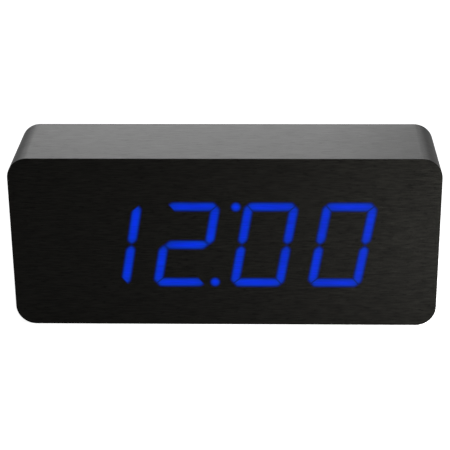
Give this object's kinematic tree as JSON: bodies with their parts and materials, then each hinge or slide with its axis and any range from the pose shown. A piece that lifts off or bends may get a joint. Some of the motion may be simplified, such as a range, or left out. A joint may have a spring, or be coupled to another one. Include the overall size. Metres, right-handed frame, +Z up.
{
  "type": "digital alarm clock",
  "caption": "Rectangular block clock with rounded corners and a seven-segment display hidden behind its dark grained front skin; rear controls and battery bay.",
  "frame": {"origin": "under the middle of the base, on the surface that the clock stands on", "axes": "+X along the width, to the right seen from the front; +Z up; the lit face looks along -Y"},
  "size_m": [0.21, 0.05, 0.089],
  "materials": {
    "wrapped_wood": "black grained wrap, satin",
    "face_skin": "fine horizontal grain, near matte",
    "raw_board": "bare fibreboard",
    "cover_black": "fine moulded texture",
    "button_black": "smooth",
    "digit_black": "moulded",
    "digit_resin": "lit blue resin",
    "circuit_board": "green solder mask",
    "chip_black": "moulded",
    "cream_plastic": "moulded",
    "steel": "zinc plated",
    "spring_steel": "nickel plated",
    "grey_ribbon": "flexible insulation",
    "red_wire": "flexible insulation",
    "black_wire": "flexible insulation"
  },
  "bodies": {
    "case": {"case_sleeve": "wrapped_wood", "front_board": "raw_board", "board_rail_left": "raw_board", "board_rail_right": "raw_board", "face_film": "face_skin", "digit_shell_1": "digit_black", "digit_resin_1": "digit_resin", "digit_substrate_1": "circuit_board", "board_screw_1": "steel", "cover_screw_1": "steel", "digit_shell_2": "digit_black", "digit_resin_2": "digit_resin", "digit_substrate_2": "circuit_board", "board_screw_2": "steel", "cover_screw_2": "steel", "digit_shell_3": "digit_black", "digit_resin_3": "digit_resin", "digit_substrate_3": "circuit_board", "board_screw_3": "steel", "cover_screw_3": "steel", "digit_shell_4": "digit_black", "digit_resin_4": "digit_resin", "digit_substrate_4": "circuit_board", "board_screw_4": "steel", "cover_screw_4": "steel", "main_board": "circuit_board", "key_board": "circuit_board", "controller_chip": "chip_black", "clock_chip": "chip_black", "buzzer": "chip_black", "power_socket": "chip_black", "coin_cell_holder": "cream_plastic", "ribbon_header": "cream_plastic", "coin_cell": "steel", "key_board_screw_1": "steel", "key_board_screw_2": "steel", "sound_switch_frame": "steel", "microphone": "steel", "ribbon_lead": "grey_ribbon", "key_switch_set": "chip_black", "key_switch_up": "chip_black", "key_switch_down": "chip_black", "rear_cover": "cover_black", "battery_box": "cover_black", "contact_plus": "spring_steel", "contact_link_1": "spring_steel", "contact_link_2": "spring_steel", "contact_link_3": "spring_steel", "contact_minus": "spring_steel", "battery_lead_red": "red_wire", "battery_lead_black": "black_wire"},
    "button_set": {"button_set": "button_black", "key_plunger_set": "cream_plastic"},
    "button_up": {"button_up": "button_black", "key_plunger_up": "cream_plastic"},
    "button_down": {"button_down": "button_black", "key_plunger_down": "cream_plastic"},
    "sound_knob": {"sound_switch_knob": "button_black"},
    "battery_cover": {"battery_door": "cover_black"}
  },
  "joints": [
    {"name": "press_set", "type": "slide", "parent": "case", "child": "button_set", "axis": [0, -1, 0], "range_m": [0, 0.0005], "stiffness_N_per_m": 2000, "springref_m": -0.0003},
    {"name": "press_up", "type": "slide", "parent": "case", "child": "button_up", "axis": [0, -1, 0], "range_m": [0, 0.0005], "stiffness_N_per_m": 2000, "springref_m": -0.0003},
    {"name": "press_down", "type": "slide", "parent": "case", "child": "button_down", "axis": [0, -1, 0], "range_m": [0, 0.0005], "stiffness_N_per_m": 2000, "springref_m": -0.0003},
    {"name": "slide_sound_knob", "type": "slide", "parent": "case", "child": "sound_knob", "axis": [1, 0, 0], "range_m": [0, 0.002]},
    {"name": "open_battery_door", "type": "hinge", "parent": "case", "child": "battery_cover", "pos_m": [0.0525, 0.0224, 0.0219], "axis": [-1, 0, 0], "range_deg": [0, 95]}
  ]
}
